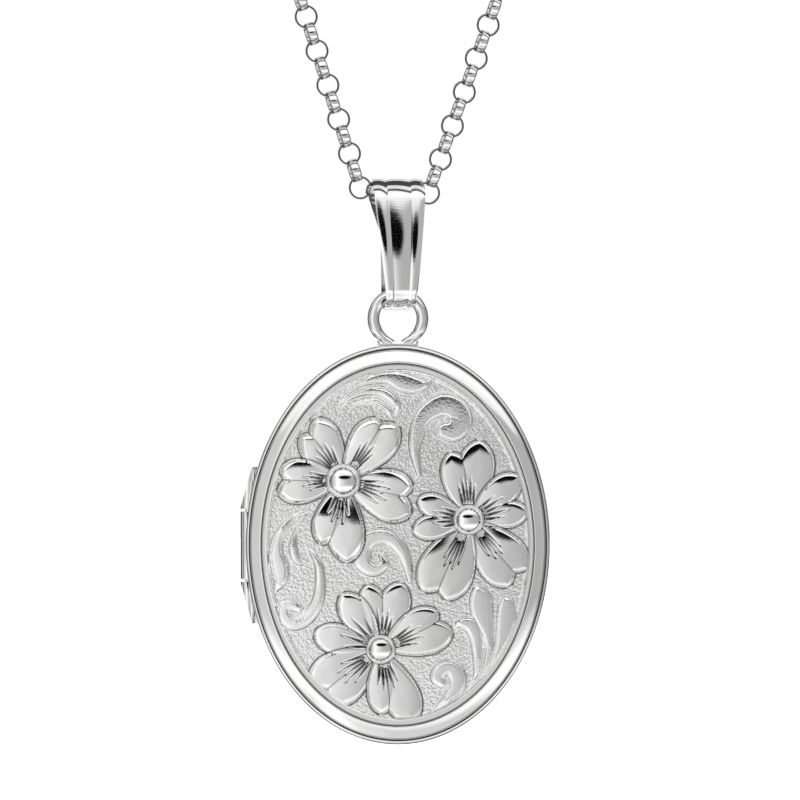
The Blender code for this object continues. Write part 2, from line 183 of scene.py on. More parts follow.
def oval_dish_mesh(name, outline):
    """An outline whose two ends are closed by flat faces."""
    points = file_top(oval_rings(outline))
    faces = grid_faces(len(outline), OVAL_STEPS, False, True)
    last = (len(outline) - 1) * OVAL_STEPS
    faces.append(tuple(range(OVAL_STEPS)))
    faces.append(tuple(range(last, last + OVAL_STEPS)))
    return make_mesh(name, points, faces)


# Materials


def add_node(tree, kind, **values):
    """Adds a node and sets its inputs, or its own settings, by name."""
    node = tree.nodes.new(kind)
    for key, value in values.items():
        if key in node.inputs:
            node.inputs[key].default_value = value
        else:
            setattr(node, key, value)
    return node


class Nodes:
    """Short calls for building a material's node tree."""

    def __init__(self, material):
        material.use_nodes = True
        self.tree = material.node_tree
        self.shader = self.tree.nodes["Principled BSDF"]

    def add(self, kind, **values):
        return add_node(self.tree, kind, **values)

    def link(self, source, target):
        self.tree.links.new(source, target)

    def noise(self, scale, detail=2.0, stretch=(1.0, 1.0, 1.0)):
        """Noise with a scale in cycles per millimetre."""
        place = self.add("ShaderNodeTexCoord")
        mapping = self.add("ShaderNodeMapping", Scale=tuple(1000.0 * s for s in stretch))
        noise = self.add("ShaderNodeTexNoise", Scale=scale, Detail=detail)
        self.link(place.outputs["Object"], mapping.inputs["Vector"])
        self.link(mapping.outputs["Vector"], noise.inputs["Vector"])
        return noise.outputs["Fac"]

    def map_range(self, source, low, high):
        """Turns 0 to 1 into low to high."""
        node = self.add("ShaderNodeMapRange")
        node.inputs["To Min"].default_value = low
        node.inputs["To Max"].default_value = high
        self.link(source, node.inputs["Value"])
        return node.outputs["Result"]

    def bump(self, height, strength, distance):
        node = self.add("ShaderNodeBump", Strength=strength, Distance=distance)
        self.link(height, node.inputs["Height"])
        return node.outputs["Normal"]


PAINTED_SHADE_TONE = 0.08  # how dark the painted shade makes the silver at the bottom of the finest cuts and along painted dark lines
FINE_BUMP = 0.02 * MM
GRAIN_BUMP = 0.04 * MM


def silver_base(name, tone):
    """Silver with slow changes of tone, and painted shade: darker where a point attribute paints shade into cuts,
    creases and outlines.
    """
    material = bpy.data.materials.new(name)
    nodes = Nodes(material)
    nodes.shader.inputs["Metallic"].default_value = 1.0
    patina = nodes.add("ShaderNodeValToRGB")
    patina.color_ramp.elements[0].position = 0.30
    patina.color_ramp.elements[0].color = (tone * 0.97, tone * 0.965, tone * 0.955, 1.0)
    patina.color_ramp.elements[1].position = 0.65
    patina.color_ramp.elements[1].color = (tone, tone, tone * 1.005, 1.0)
    nodes.link(nodes.noise(0.35, 3.0), patina.inputs["Fac"])
    # Painted shade: a point attribute darkens the base colour, standing in for dark reflections in cuts and along
    # outlines
    painted_shade = nodes.add("ShaderNodeAttribute", attribute_name="painted_shade")
    shaded_colour = nodes.add("ShaderNodeVectorMath", operation="SCALE")
    nodes.link(patina.outputs["Color"], shaded_colour.inputs[0])
    nodes.link(nodes.map_range(painted_shade.outputs["Fac"], 1.0, PAINTED_SHADE_TONE), shaded_colour.inputs["Scale"])
    nodes.link(shaded_colour.outputs["Vector"], nodes.shader.inputs["Base Color"])
    return material, nodes


def polished_silver():
    """Mirror-bright silver with faint polishing hairlines and slow changes of sheen."""
    material, nodes = silver_base("polished_silver_look", 0.95)
    rough = nodes.map_range(nodes.noise(1.1, 4.0), 0.035, 0.10)
    nodes.link(rough, nodes.shader.inputs["Roughness"])
    hairlines = nodes.noise(6.0, 2.0, stretch=(0.25, 1.0, 3.0))
    nodes.link(nodes.bump(hairlines, 0.06, FINE_BUMP), nodes.shader.inputs["Normal"])
    return material


def embossed_silver():
    """Silver that is matt and grained on the ground and bright on the flowers, by the finish attribute."""
    material, nodes = silver_base("embossed_silver_look", 0.94)
    finish = nodes.add("ShaderNodeAttribute", attribute_name="finish")
    rough = nodes.map_range(finish.outputs["Fac"], 0.30, 0.06)
    nodes.link(rough, nodes.shader.inputs["Roughness"])
    grain = nodes.noise(7.0, 2.0)
    strength = nodes.map_range(finish.outputs["Fac"], 0.7, 0.02)
    normal = nodes.add("ShaderNodeBump", Distance=GRAIN_BUMP)
    nodes.link(grain, normal.inputs["Height"])
    nodes.link(strength, normal.inputs["Strength"])
    nodes.link(normal.outputs["Normal"], nodes.shader.inputs["Normal"])
    return material


def picture_paper():
    material = bpy.data.materials.new("picture_paper_look")
    nodes = Nodes(material)
    ramp = nodes.add("ShaderNodeValToRGB")
    ramp.color_ramp.elements[0].color = (0.80, 0.76, 0.68, 1.0)
    ramp.color_ramp.elements[1].color = (0.90, 0.88, 0.83, 1.0)
    nodes.link(nodes.noise(1.5, 5.0), ramp.inputs["Fac"])
    nodes.link(ramp.outputs["Color"], nodes.shader.inputs["Base Color"])
    nodes.shader.inputs["Roughness"].default_value = 0.8
    nodes.link(nodes.bump(nodes.noise(12.0, 4.0), 0.3, FINE_BUMP), nodes.shader.inputs["Normal"])
    return material


def clear_acetate():
    material = bpy.data.materials.new("clear_acetate_look")
    nodes = Nodes(material)
    nodes.shader.inputs["Base Color"].default_value = (0.98, 0.99, 0.99, 1.0)
    nodes.shader.inputs["Transmission Weight"].default_value = 1.0
    nodes.shader.inputs["IOR"].default_value = 1.47
    rough = nodes.map_range(nodes.noise(0.8, 3.0), 0.0, 0.05)
    nodes.link(rough, nodes.shader.inputs["Roughness"])
    return material


# The embossed panel

# Each flower: centre, size of the boss, slope of the bright cuts, how steeply the upper lobes' outer halves
# fall away, and for each petal the angle and the length of its two lobes
FLOWERS = (
    ((-3.58, 4.20), 1.10, 0.34, -0.06,
     ((113, 4.52, 133, 4.11), (170, 4.27, 190, 4.43), (250, 4.47, 273, 5.42),
      (333, 5.02, 355, 4.63), (46, 5.16, 61, 4.73))),
    ((4.66, 1.64), 0.98, 0.03, 0.02,
     ((105, 4.62, 82, 5.30), (41, 4.45, 8, 3.99), (320, 5.04, 301, 5.14),
      (255, 5.50, 237, 5.59), (191, 3.80, 158, 3.67))),
    ((-1.12, -6.86), 0.95, 0.03, 0.03,
     ((101, 4.38, 73, 4.64), (125, 4.51, 167, 4.56), (204, 5.19, 227, 4.96),
      (271, 4.30, 294, 5.34), (14, 4.90, 34, 4.55))),
)
# A scroll or a leaf is a raised stroke through a few (x, z, half width) points
STROKES = {
    "top_leaf": ((-3.9, 8.9, 0.05), (-3.5, 9.7, 0.15), (-2.6, 10.5, 0.25), (-1.6, 10.9, 0.4),
                 (-0.6, 11, 0.5), (0.3, 10.7, 0.7), (1.2, 10.5, 0.6), (1.9, 10.6, 0.3), (2.5, 11.2, 0.05)),
    "top_second": ((-3.8, 8.7, 0.05), (-3.3, 9.5, 0.15), (-2.3, 10, 0.25), (-1.3, 10.1, 0.35),
                   (-0.6, 9.8, 0.4), (-0.1, 9.2, 0.3), (-0.1, 8.5, 0.05)),
    "top_third": ((-3.3, 8.6, 0.05), (-2.8, 9.2, 0.1), (-2, 9.4, 0.15), (-1.3, 9.3, 0.2),
                  (-0.7, 8.9, 0.2), (-0.4, 8.4, 0.05)),
    "top_scroll": ((1.4, 4.6, 0.2), (1.1, 6, 0.35), (1.2, 7.1, 0.5), (1.5, 8.1, 0.6), (2.1, 8.8, 0.7),
                   (3, 9.2, 0.8), (3.8, 8.9, 0.8), (4.1, 8.1, 0.8), (3.7, 7.5, 0.75), (3.1, 7.5, 0.6)),
    "middle_scroll": ((0.8, -2.4, 0.2), (0.6, -1.3, 0.35), (0.2, -0.3, 0.45), (-0.6, 0.5, 0.55),
                      (-1.6, 0.5, 0.6), (-2.3, -0.1, 0.65), (-2.3, -1.1, 0.6), (-1.6, -1.6, 0.5),
                      (-0.9, -1.3, 0.35), (-1.1, -0.7, 0.2)),
    "left_leaf": ((-5.9, 2.2, 0.05), (-6.7, 1.9, 0.15), (-7.4, 1.2, 0.3), (-7.9, 0.3, 0.4), (-8, -0.6, 0.5),
                  (-7.8, -1.4, 0.6), (-7.7, -2.2, 0.5), (-7.9, -2.8, 0.25), (-8.1, -3.2, 0.05)),
    "left_second": ((-6, 2, 0.05), (-6.4, 1.4, 0.15), (-6.8, 0.6, 0.2), (-6.9, -0.2, 0.3),
                    (-6.7, -0.9, 0.3), (-6.3, -1.2, 0.2), (-5.9, -1.1, 0.05)),
    "left_scroll": ((-6.1, 0.1, 0.05), (-5.6, -0.6, 0.2), (-5.2, -1.4, 0.3), (-5.1, -2.5, 0.35),
                    (-5.2, -3.5, 0.4), (-5.6, -4.4, 0.45), (-6.3, -5, 0.5), (-7, -5.1, 0.5),
                    (-7.5, -4.6, 0.5), (-7.4, -4, 0.45), (-6.8, -4, 0.4), (-6.5, -4.4, 0.2)),
    "right_scroll": ((1.3, -11.3, 0.05), (2.3, -10.9, 0.15), (3.2, -10.2, 0.35), (3.8, -9.5, 0.55),
                     (3.9, -8.7, 0.6), (3.5, -8.1, 0.55), (2.9, -8.2, 0.55), (2.6, -8.7, 0.5),
                     (2.9, -9.1, 0.35)),
    "outer_leaf": ((7.2, -3.3, 0.05), (7.1, -3.9, 0.5), (7.1, -4.7, 0.65), (7.0, -5.6, 0.6), (6.8, -6.6, 0.5),
                   (6.4, -7.6, 0.4), (5.9, -8.6, 0.35), (5.3, -9.4, 0.25), (4.6, -10.1, 0.1)),
    "broad_leaf": ((5.2, -2.8, 0.2), (5.4, -3.5, 0.7), (5.5, -4.3, 0.75), (5.7, -5.1, 0.6), (5.9, -6.0, 0.4),
                   (6.0, -6.9, 0.3), (5.8, -7.9, 0.25), (5.4, -8.9, 0.15), (4.9, -9.7, 0.05)),
    "inner_leaf": ((3.8, -5.4, 0.1), (4.2, -5.1, 0.4), (4.8, -5.3, 0.55), (5.1, -5.9, 0.5), (5.2, -6.8, 0.4),
                   (5.2, -7.7, 0.3), (5.1, -8.5, 0.2), (4.8, -9.2, 0.05)),
}
# Fine cuts that part a scroll's curl from its stem, through a few (x, z) points
CURL_CUTS = (
    ((1.6, 5.6), (1.7, 6.9), (2.1, 7.9), (2.5, 8.2), (3.1, 8.4), (3.8, 8.3)),
    ((0.3, -2), (-0.1, -0.8), (-0.7, -0.2), (-1.3, -0.2), (-1.5, -0.7)),
    ((-5.5, -2.9), (-5.7, -3.9), (-6, -4.6), (-6.6, -5)),
    ((2.5, -10.8), (3, -10), (3.2, -9.2), (3.2, -9)),
)
SCROLL_HEIGHT = 0.22
SCROLL_FINISH = 0.58  # between the matt ground (0) and the polished petals (1)
SCROLL_BREADTH = 1.06
PETAL_EDGE = 0.22  # height of a petal's sharp edge over the ground
PETAL_CROWN = 0.05  # how much higher its soft crown stands
TIP_CUT = (0.16, 0.48)  # width of the bright cut along a lobe's sides and at its tip
LOBE_WIDTH = 0.236  # half width over length
LOBE_WIDEST = 0.66
CREASE_SHADE_TONE = 0.8  # painted shade: the dark line between a petal's two lobes
FAN_DEPTH = 0.15  # depth of the cuts that fan out from a boss
FAN_WIDTH = 0.14
# A boss, as shares of its size: a dome inside a ring, with a flat moat round both
DOME_SHARE = 0.72
RING_SHARE = 0.88
RING_REACH = 0.20
RING_LINE_SHARE = 1.06
MOAT_SHARE = 1.08
DOME_FLATNESS = 2.5  # radius of the dome's sphere over the dome's own
DOME_FOOT = 0.42
RING_TOP = 0.47
MOAT_FLOOR = 0.26
# How dark the painted shade lines round a boss's dome and ring are
BOSS_SHADE_TONE = 0.75
STIPPLE_HEIGHT = 0.034
STIPPLE_CELL = 0.15
STIPPLE_SEED = 7
STIPPLE_REPEAT = 160  # cells before the random places repeat


def smooth_step(value, low, high):
    t = np.clip((value - low) / (high - low), 0, 1)
    return t * t * (3 - 2 * t)


def lobe_profile(share):
    """Half width of a lobe along its length, as a share of its greatest half width."""
    rising = np.sin(math.pi / 2 * np.clip(share / LOBE_WIDEST, 0, 1)) ** 0.85
    falling = np.clip(1 - np.clip((share - LOBE_WIDEST) / (1 - LOBE_WIDEST), 0, 1) ** 2.0, 0, 1) ** 0.58
    return np.where(share < LOBE_WIDEST, rising, falling)


def lobe_height(x, z, centre, cut_slope, lean, angle, length):
    """(height, distance inside the edge) of a petal lobe: a sharp edge, a fine line inside it and a crown."""
    along = (math.cos(math.radians(angle)), math.sin(math.radians(angle)))
    r = (x - centre[0]) * along[0] + (z - centre[1]) * along[1]
    t = (z - centre[1]) * along[0] - (x - centre[0]) * along[1]
    share = np.clip(r / length, 0.01, 0.99)
    width = LOBE_WIDTH * length * lobe_profile(share)
    slope = np.abs(LOBE_WIDTH * (lobe_profile(share + 0.01) - lobe_profile(share - 0.01)) / 0.02)
    inner = (width - np.abs(t)) / np.sqrt(1 + slope ** 2)
    inner = np.where((r > 0) & (r < length), inner, -1.0)
    edge = PETAL_EDGE * smooth_step(inner, 0.0, 0.07)
    line = 0.05 * np.exp(-((inner - 0.15) / 0.045) ** 2)
    across = np.clip((inner - 0.12) / 0.85, 0, 1)
    crown = PETAL_CROWN * (1 - (1 - across) ** 1.8)
    cut = TIP_CUT[0] + (TIP_CUT[1] - TIP_CUT[0]) * smooth_step(share + 0.10 * t, 0.55, 0.95)
    crown = crown - lean * max(along[1], 0.0) * np.clip(share - 0.45, 0, 1) * length
    crown = crown - cut_slope * np.maximum(0, cut - inner) * smooth_step(inner, 0.05, 0.18)
    rise = 0.45 + 0.55 * smooth_step(share, 0.15, 0.70)
    return np.where(inner > 0, (edge + crown) * rise - line, 0.0), inner


def groove(x, z, centre, angle, start, stop, width, bend):
    """Depth share of a radial cut from start to stop, bent a little sideways."""
    along = (math.cos(math.radians(angle)), math.sin(math.radians(angle)))
    r = (x - centre[0]) * along[0] + (z - centre[1]) * along[1]
    t = (z - centre[1]) * along[0] - (x - centre[0]) * along[1]
    share = (r - start) / (stop - start)
    t = t - bend * np.clip(share, 0, 1) ** 2
    taper = np.clip(1.15 - share, 0, 1) ** 0.5 * (share > 0) * (share < 1.15)
    return np.clip(1 - np.abs(t) / (width * np.maximum(taper, 0.05)), 0, 1) * taper


def flower_height(x, z, centre, size, cut_slope, lean, petals):
    """(height, mask, painted shade) of a flower: heart-shaped petals, cuts that fan out, and the boss."""
    height = np.zeros_like(x)
    mask = np.zeros_like(x)
    painted_shade = np.zeros_like(x)
    for first_angle, first_length, second_angle, second_length in petals:
        first, first_inner = lobe_height(x, z, centre, cut_slope, lean, first_angle, first_length)
        second, second_inner = lobe_height(x, z, centre, cut_slope, lean, second_angle, second_length)
        petal = np.maximum(first, second)
        turn = (second_angle - first_angle + 180) % 360 - 180
        cuts = np.zeros_like(x)
        for step, reach in ((-0.15, 0.50), (0.2, 0.58), (0.5, 0.52), (0.8, 0.58), (1.15, 0.50)):
            angle = first_angle + turn * step
            bend = 0.12 * (step - 0.5)
            cut = groove(x, z, centre, angle, size * 1.02, reach * first_length, FAN_WIDTH, bend)
            petal = petal - FAN_DEPTH * cut * (petal > 0.02)
            cuts = np.maximum(cuts, cut)
        nearest = np.maximum(first_inner, second_inner)
        # Painted shade: dark lines along each lobe's outline, in the crease between the lobes and in the fanned
        # cuts
        crease = (1 - smooth_step(np.abs(first_inner - second_inner), 0.02, 0.10)) * (petal > 0.05)
        outline = np.exp(-(nearest / 0.05) ** 2) + 0.2 * np.exp(-((nearest - 0.15) / 0.04) ** 2)
        painted_shade = np.where(nearest > -0.1, np.maximum(painted_shade * (nearest < 0.05), outline), painted_shade)
        painted_shade = np.maximum(painted_shade, CREASE_SHADE_TONE * crease)
        painted_shade = np.maximum(painted_shade, np.clip(1.7 * cuts, 0, 1) * (petal > 0.0))
        height = np.maximum(height, petal)
        mask = np.maximum(mask, smooth_step(nearest, -0.02, 0.04))
    distance = np.hypot(x - centre[0], z - centre[1])
    ring_radius = size * RING_SHARE
    off_ring = np.abs(distance - ring_radius)
    ring = np.where(off_ring < size * RING_REACH, RING_TOP - 2.2 * off_ring ** 1.5 / size, 0)
    dome_radius = size * DOME_SHARE
    sphere = dome_radius * DOME_FLATNESS
    dome = DOME_FOOT + np.sqrt(np.clip(sphere ** 2 - distance ** 2, 0, None))
    dome = dome - math.sqrt(sphere ** 2 - dome_radius ** 2)
    dome = np.where(distance < dome_radius, dome, 0)
    moat = distance < size * MOAT_SHARE
    height = np.where(moat, np.maximum(np.maximum(ring, dome), MOAT_FLOOR), height)
    mask = np.where(moat, 1.0, mask)
    # Painted shade: dark lines at the dome's foot and near the moat's outer edge
    rings = np.exp(-((distance - dome_radius) / 0.05) ** 2)
    rings = rings + 0.8 * np.exp(-((distance - size * RING_LINE_SHARE) / 0.04) ** 2)
    painted_shade = np.where(moat, BOSS_SHADE_TONE * rings, painted_shade)
    return height, mask, painted_shade


def stroke(x, z, path, widths, height):
    """A raised band along a path of (x, z) points, with a half width for each point."""
    result = np.zeros_like(x)
    low = path.min(axis=0) - widths.max()
    high = path.max(axis=0) + widths.max()
    near = np.nonzero((x > low[0]) & (x < high[0]) & (z > low[1]) & (z < high[1]))[0]
    for chunk in np.array_split(near, max(1, len(near) // 20000)):
        offset_x = x[chunk, None] - path[None, :, 0]
        offset_z = z[chunk, None] - path[None, :, 1]
        share = np.hypot(offset_x, offset_z) / widths[None, :]
        value = share.min(axis=1)
        width = widths[share.argmin(axis=1)]
        inside = (1 - value) * width
        crown = smooth_step(inside, -0.02, 0.15) * (0.82 + 0.18 * (1 - np.clip(value, 0, 1) ** 2))
        rib = 0.05 * np.exp(-((inside - 0.20) / 0.05) ** 2) * smooth_step(width, 0.3, 0.45)
        result[chunk] = np.maximum(result[chunk], (height * crown - rib) * np.clip(width / 0.35, 0.35, 1))
    return result


def smooth_path(points, count=120):
    """A Catmull-Rom curve through points of any number of columns."""
    points = np.array(points, float)
    padded = np.vstack([2 * points[0] - points[1], points, 2 * points[-1] - points[-2]])
    at = np.linspace(0, len(points) - 1 - 1e-9, count)
    index = at.astype(int)
    t = (at - index)[:, None]
    p0, p1, p2, p3 = (padded[index + k] for k in range(4))
    return 0.5 * (2 * p1 + (p2 - p0) * t + (2 * p0 - 5 * p1 + 4 * p2 - p3) * t ** 2
                  + (3 * p1 - p0 - 3 * p2 + p3) * t ** 3)


def stipple(x, z):
    """Small punched dots at random places on a grid of cells."""
    rng = np.random.default_rng(STIPPLE_SEED)
    jitter = rng.random((STIPPLE_REPEAT, STIPPLE_REPEAT, 3))
    gx, gz = x / STIPPLE_CELL, z / STIPPLE_CELL
    best = np.full_like(x, 9.0)
    for di in (-1, 0, 1):
        for dj in (-1, 0, 1):
            ix, iz = np.floor(gx).astype(int) + di, np.floor(gz).astype(int) + dj
            j = jitter[ix % STIPPLE_REPEAT, iz % STIPPLE_REPEAT]
            distance = np.hypot(gx - ix - j[:, 0], gz - iz - j[:, 1]) / (0.75 + 0.5 * j[:, 2])
            best = np.minimum(best, distance)
    return np.clip(1 - best / 0.75, 0, 1)


MARGIN_WIDTH = 0.45
JOIN_SHADE_TONE = 0.8  # painted shade: the dark line where the panel meets the rim
MARGIN_TILT = 0.09  # turns the smooth margin back to face the front


def relief(x, z):
    """(height over the domed ground, finish, painted shade) at each point of the panel."""
    edge = (1 - np.hypot(x / PANEL_HALF[0], z / PANEL_HALF[1])) * PANEL_HALF[0]
    height = STIPPLE_HEIGHT * stipple(x, z)
    finish = np.zeros_like(x)
    raised = np.zeros_like(x)
    for points in STROKES.values():
        path = smooth_path(points)
        widths = np.maximum(path[:, 2] * SCROLL_BREADTH, 0.04)
        raised = np.maximum(raised, stroke(x, z, path[:, :2], widths, SCROLL_HEIGHT))
    for points in CURL_CUTS:
        path = smooth_path(points)
        width = 0.09 * (0.3 + 0.7 * np.linspace(0, 1, len(path)))
        raised = raised - 0.5 * np.minimum(stroke(x, z, path, width, SCROLL_HEIGHT), raised)
    on_scroll = smooth_step(raised, 0.01, 0.05)
    height = height * (1 - on_scroll) + raised
    finish = np.maximum(finish, SCROLL_FINISH * on_scroll)
    painted_shade = np.zeros_like(x)
    for flower_values in FLOWERS:
        flower, mask, cuts = flower_height(x, z, *flower_values)
        painted_shade = np.maximum(painted_shade * (1 - mask), cuts)
        height = np.where(mask > 0.5, flower, np.maximum(height, flower))
        finish = np.maximum(finish * (1 - mask), mask)
    margin = 1 - smooth_step(edge, 0.30, 0.42)
    bead = 0.07 * np.exp(-((edge - 0.42) / 0.07) ** 2)
    height = height * (1 - margin) + bead * (height < 0.06) + MARGIN_TILT * np.maximum(0, MARGIN_WIDTH - edge)
    finish = np.maximum(finish, 0.8 * margin)
    # Painted shade: a dark line along the panel's edge where it meets the rim
    painted_shade = np.maximum(painted_shade * (1 - margin), JOIN_SHADE_TONE * (1 - smooth_step(edge, 0.03, 0.10)))
    return height, finish, painted_shade


def panel_dome(x, z):
    share = np.hypot(x / PANEL_HALF[0], z / PANEL_HALF[1])
    return GROUND_TOP - PANEL_DOME * np.clip(share, 0, 1) ** 2


def build_panel(material):
    """The embossed plate: a grid of rows across the oval, closed by a wall and a back."""
    rows = int(2 * PANEL_HALF[1] / RELIEF_STEP)
    columns = int(2 * PANEL_HALF[0] / RELIEF_STEP)
    turn = np.linspace(-1, 1, rows) * (1 - 0.4 / rows)
    across = np.linspace(-1, 1, columns)
    z = np.repeat(turn * PANEL_HALF[1], columns)
    x = np.tile(across, rows) * np.repeat(np.sqrt(1 - turn ** 2), columns) * PANEL_HALF[0]
    height, finish, painted_shade = relief(x, z)
    depth = panel_dome(x, z) + height
    front = np.stack([x, -depth, z], axis=1)
    faces = grid_faces(rows, columns)
    index = np.arange(rows * columns).reshape(rows, columns)
    border = np.concatenate([index[0], index[1:, -1], index[-1, -2::-1], index[-2:0:-1, 0]])
    wall = front[border].copy()
    wall[:, 1] = -PANEL_BASE
    start = len(front)
    count = len(border)
    for i in range(count):
        j = (i + 1) % count
        faces.append((int(border[i]), int(border[j]), start + j, start + i))
    faces.append(tuple(start + i for i in range(count)))
    mesh = make_mesh("embossed_panel", np.vstack([front, wall]), faces, sharp=70.0)
    for name, values in (("finish", finish), ("painted_shade", painted_shade)):
        set_attribute(mesh, name, np.concatenate([values, np.zeros(count)]))
    make_piece("embossed_panel", mesh, material, ["front_panel"])


# Covers and inserts

CHANNEL_GAP = 0.03
NOTCH_ANGLES = (28.0, 46.0)
NOTCH_DEPTH = 0.16
NOTCH_HEIGHT = 0.42
GROOVE_INSETS = (0.19, 0.31)  # where the rim's groove lies, darkened with painted shade
GROOVE_DEPTHS = (3.3, 3.7)
GROOVE_SHADE_TONE = 0.9


def hinge_channel():
    """The hollow that both covers leave for the hinge barrel: a cylinder along the pin."""
    centre = joint_point("cover_hinge")
    low = box_mm("hinge_knuckle_lower")[0][2] - 0.05
    high = box_mm("hinge_knuckle_upper")[1][2] + 0.05
    barrel_low, barrel_high = box_mm("hinge_knuckle_centre")
    radius = (barrel_high[1] - barrel_low[1]) / 2 + CHANNEL_GAP
    turn = np.linspace(0, 2 * math.pi, 48, endpoint=False)
    circle = np.stack([centre[0] + radius * np.cos(turn), centre[1] + radius * np.sin(turn)], axis=1)
    points = np.vstack([np.column_stack([circle, np.full(48, z)]) for z in (low, high)])
    faces = grid_faces(2, 48, False, True) + [tuple(range(48)), tuple(range(48, 96))]
    return make_mesh("hinge_channel", points, faces)


def nail_notch():
    """A shallow hollow across the seam at the upper right, following the oval's edge."""
    steps = 16
    seam = joint_point("cover_hinge")[1]
    points = []
    for share in np.linspace(0, 1, steps + 1):
        angle = math.radians(NOTCH_ANGLES[0] + share * (NOTCH_ANGLES[1] - NOTCH_ANGLES[0]))
        depth = 0.02 + NOTCH_DEPTH * math.sin(math.pi * share)
        for inset, side in ((-0.4, -1), (depth, -0.5), (depth, 0.5), (-0.4, 1)):
            x = (HALF_WIDTH - inset) * math.cos(angle)
            z = (HALF_HEIGHT - INSET_ASPECT * inset) * math.sin(angle)
            points.append((x, seam + side * NOTCH_HEIGHT, z))
    last = 4 * steps
    faces = grid_faces(steps + 1, 4, False, True) + [(0, 1, 2, 3), (last, last + 1, last + 2, last + 3)]
    return make_mesh("nail_notch", points, faces)


def cut(piece, *cutters):
    """Takes the cutters' shapes out of a piece for good."""
    for mesh in cutters:
        cutter = bpy.data.objects.new("cutter", mesh)
        bpy.context.scene.collection.objects.link(cutter)
        modifier = piece.modifiers.new("cut", "BOOLEAN")
        modifier.operation = "DIFFERENCE"
        modifier.solver = "EXACT"
        modifier.object = cutter
        graph = bpy.context.evaluated_depsgraph_get()
        mesh_after = bpy.data.meshes.new_from_object(piece.evaluated_get(graph))
        piece.modifiers.clear()
        piece.data = mesh_after
        piece.data.set_sharp_from_angle(angle=math.radians(35))
        bpy.data.objects.remove(cutter)


def build_covers(silver):
    outside = [(1.9, 0.0), (1.25, 0.0), (0.62, 0.17), (0.20, 0.62), (0.0, 1.30), (0.0, BACK_SEAM)]
    inside = [(SHEET, BACK_SEAM), (SHEET, 1.45), (0.60, 0.90), (1.10, 0.46), (1.9, SHEET)]
    edge = [(0.0, 1.9), (0.0, BACK_SEAM), (SHEET, BACK_SEAM), (SHEET, 1.9)]
    outline = np.vstack([
        rounded(outside, 0.34, 7, closed=False)[:-1],
        rounded(edge, 0.05, 3, closed=False)[1:-1],
        rounded(inside, 0.2, 4, closed=False)[1:],
    ])
    back = make_piece("back_shell", oval_dish_mesh("back_shell", outline), silver, ["back_cover"])
    lip = HALF_WIDTH - PANEL_HALF[0] - 0.03
    flange = PANEL_BASE - 0.02
    rim = [
        (0.0, RIM_SEAM), (0.0, 3.28), (0.07, 3.42), (0.20, 3.47), (0.23, 3.40), (0.28, 3.40), (0.29, 3.90),
        (0.35, 3.99), (0.66, 4.16), (lip - 0.05, RIM_CREST - 0.01), (lip, RIM_CREST - 0.06), (lip, flange),
        (1.55, flange), (1.55, flange - 0.18), (0.66, flange - 0.18), (0.48, 3.40), (SHEET, 3.15),
        (SHEET, RIM_SEAM),
    ]
    outline = rounded(rim, 0.06, 3)
    mesh = oval_frame_mesh("front_frame", outline)
    # Painted shade: the faces inside the rim's groove are darkened in colour
    inset, depth = outline.T
    in_groove = (inset > GROOVE_INSETS[0]) & (inset < GROOVE_INSETS[1])
    in_groove = in_groove & (depth > GROOVE_DEPTHS[0]) & (depth < GROOVE_DEPTHS[1])
    set_attribute(mesh, "painted_shade", np.repeat(GROOVE_SHADE_TONE * in_groove, OVAL_STEPS))
    front = make_piece("front_frame", mesh, silver, ["front_rim"])
    for piece in (back, front):
        cut(piece, hinge_channel(), nail_notch())


def build_lip(silver):
    """The picture ledge and snap lip, with the lip left out beside the hinge."""
    low, high = box_mm("back_inner_rim")
    outer = HALF_WIDTH - high[0]
    seat = -high[1]
    tip = -low[1]
    outline = rounded([
        (outer, seat), (1.50, seat), (1.50, seat + 0.18), (outer + 0.25, seat + 0.18), (outer + 0.25, tip),
        (outer, tip),
    ], 0.06, 3)
    points = oval_rings(outline)
    beside_hinge = (points[:, 0] < -7.9) & (np.abs(points[:, 2]) < 5.5)
    points[beside_hinge, 1] = np.maximum(points[beside_hinge, 1], -1.98)
    mesh = make_mesh("snap_lip", points, grid_faces(len(outline), OVAL_STEPS, True, True))
    make_piece("snap_lip", mesh, silver, ["back_inner_rim"])


def build_bezels(silver):
    for side, sign in (("back", 1), ("front", -1)):
        node = f"{side}_photo_bezel"
        low, high = box_mm(node)
        outer = HALF_WIDTH - high[0]
        seat, top = (-high[1], -low[1]) if sign > 0 else (-low[1], -high[1])
        lip = top - sign * 0.22
        outline = [
            (outer, seat), (outer + 0.11, seat), (outer + 0.11, lip), (1.50, lip), (1.50, lip + sign * 0.10),
            (1.25, top), (outer, top),
        ]
        mesh = oval_frame_mesh(f"{side}_bezel", rounded(outline, 0.07, 3))
        make_piece(f"{side}_bezel", mesh, silver, [node])


# Hinge, pad, loop


def refined(name, node, material, bevel):
    """A CAD node's mesh with its flat faces cleaned up and its edges softened."""
    bm = bmesh.new()
    bm.from_mesh(frame["nodes"][node].data)
    bmesh.ops.remove_doubles(bm, verts=bm.verts, dist=0.002 * MM)
    bmesh.ops.dissolve_limit(bm, angle_limit=math.radians(1.0), verts=bm.verts, edges=bm.edges)
    edges = [e for e in bm.edges if e.is_manifold and e.calc_face_angle() > math.radians(30)]
    bmesh.ops.bevel(
        bm, geom=edges, offset=bevel * MM, segments=3, profile=0.5, affect="EDGES", clamp_overlap=True,
    )
    bmesh.ops.recalc_face_normals(bm, faces=bm.faces)
    mesh = bpy.data.meshes.new(name)
    bm.to_mesh(mesh)
    bm.free()
    mesh.polygons.foreach_set("use_smooth", [True] * len(mesh.polygons))
    mesh.set_sharp_from_angle(angle=math.radians(40))
    make_piece(name, mesh, material, [node])


